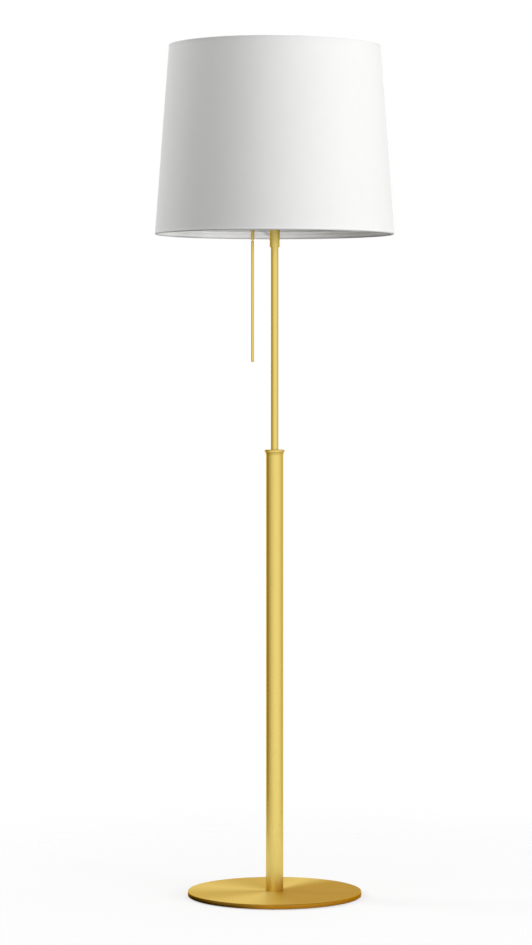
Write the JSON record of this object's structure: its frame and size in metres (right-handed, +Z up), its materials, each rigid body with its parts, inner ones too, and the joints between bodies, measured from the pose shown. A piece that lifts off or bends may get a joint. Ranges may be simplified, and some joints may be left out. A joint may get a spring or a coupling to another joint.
{
  "type": "telescopic floor lamp",
  "caption": "Satin brass telescopic floor lamp with a round base, a sliding and turning slim pole, a white tapered drum shade and a straight pull switch.",
  "frame": {"origin": "centre of the base on the floor", "axes": "+Z up along the pole, -X towards the pull, +Y towards the back with the lead's inlet"},
  "size_m": [0.4116, 0.4116, 1.4668],
  "materials": {
    "satin_brass": "satin brushed, lacquered",
    "plain_brass": "turned, bare",
    "zinc_steel": "zinc plated",
    "black_felt": "pressed felt",
    "black_rubber": "smooth",
    "white_nylon": "moulded",
    "lead_sheath": "smooth sheath",
    "white_holder": "moulded, semi-gloss",
    "white_ceramic": "unglazed",
    "white_wire": "white lacquer",
    "white_cloth": "fine smooth weave, bonded to its liner",
    "shade_laminate": "matt white film",
    "opal_glass": "opal, matt",
    "bulb_metal": "rolled",
    "black_glass": "glassy"
  },
  "bodies": {
    "stand": {"base_pad": "black_felt", "base_plate": "satin_brass", "foot_bolt": "zinc_steel", "foot_washer": "zinc_steel", "tube_foot_plug": "zinc_steel", "lower_tube": "satin_brass", "cord_grommet": "black_rubber", "inlet_lead": "lead_sheath", "slack_lead_coil": "lead_sheath", "guide_collar": "satin_brass", "guide_bush": "white_nylon"},
    "slide_carriage": {"slide_piston": "white_nylon", "friction_rings": "black_rubber"},
    "upper_pole": {"upper_tube": "satin_brass", "retaining_collar": "zinc_steel", "stop_sleeve": "white_nylon", "upper_lead": "lead_sheath", "neck_nipple": "plain_brass", "neck_nut": "zinc_steel", "neck_ferrule": "satin_brass", "switch_housing": "satin_brass", "switch_cover": "satin_brass", "pull_guide": "satin_brass", "pull_spring": "zinc_steel", "lever_pin": "zinc_steel", "switch_contact_block": "white_ceramic", "switch_contacts": "plain_brass", "lampholder_cap": "white_holder", "lampholder_insert": "white_ceramic", "lampholder_wires": "lead_sheath", "lampholder_body": "white_holder", "lampholder_thread": "plain_brass", "lampholder_contact": "plain_brass", "bulb_contact": "bulb_metal", "bulb_insulator": "black_glass", "bulb_cap": "bulb_metal", "bulb_glass": "opal_glass", "shade_ring_lower": "white_holder", "shade_ring_upper": "white_holder", "shade_hub": "white_wire", "bottom_ring": "white_wire", "top_ring": "white_wire", "shade_cover": "white_cloth", "shade_liner": "shade_laminate", "shade_arm_rear": "white_wire", "shade_arm_left": "white_wire", "shade_arm_right": "white_wire"},
    "pull_slider": {"pull_pin": "plain_brass"},
    "lever": {"switch_lever": "plain_brass"},
    "coupling": {"pull_coupling": "satin_brass"},
    "pull_bar": {"pull_rod": "satin_brass"}
  },
  "joints": [
    {"name": "height_slide", "type": "slide", "parent": "stand", "child": "slide_carriage", "axis": [0, 0, 1], "range_m": [-0.346, 0.15], "deforming": ["slack_lead_coil"]},
    {"name": "pole_swivel", "type": "hinge", "parent": "slide_carriage", "child": "upper_pole", "pos_m": [0, 0, 0.4749], "axis": [0, 0, 1], "range_deg": [-170, 170]},
    {"name": "pull_travel", "type": "slide", "parent": "upper_pole", "child": "pull_slider", "axis": [0, 0, -1], "range_m": [0, 0.006], "stiffness_N_per_m": 800, "springref_m": -0.004, "deforming": ["pull_spring"]},
    {"name": "lever_rock", "type": "hinge", "parent": "upper_pole", "child": "lever", "pos_m": [-0.021, 0, 1.1724], "axis": [0, -1, 0], "range_deg": [0, 20.3]},
    {"name": "coupling_swing", "type": "hinge", "parent": "pull_slider", "child": "coupling", "pos_m": [-0.038, 0, 1.1468], "axis": [1, 0, 0], "range_deg": [-15, 15]},
    {"name": "rod_swing", "type": "hinge", "parent": "coupling", "child": "pull_bar", "pos_m": [-0.038, 0, 1.1358], "axis": [0, 1, 0], "range_deg": [-5, 15]}
  ],
  "couplings": [
    {"joint": "lever_rock", "follows": "pull_travel", "rad_per_m": 58.824}
  ]
}
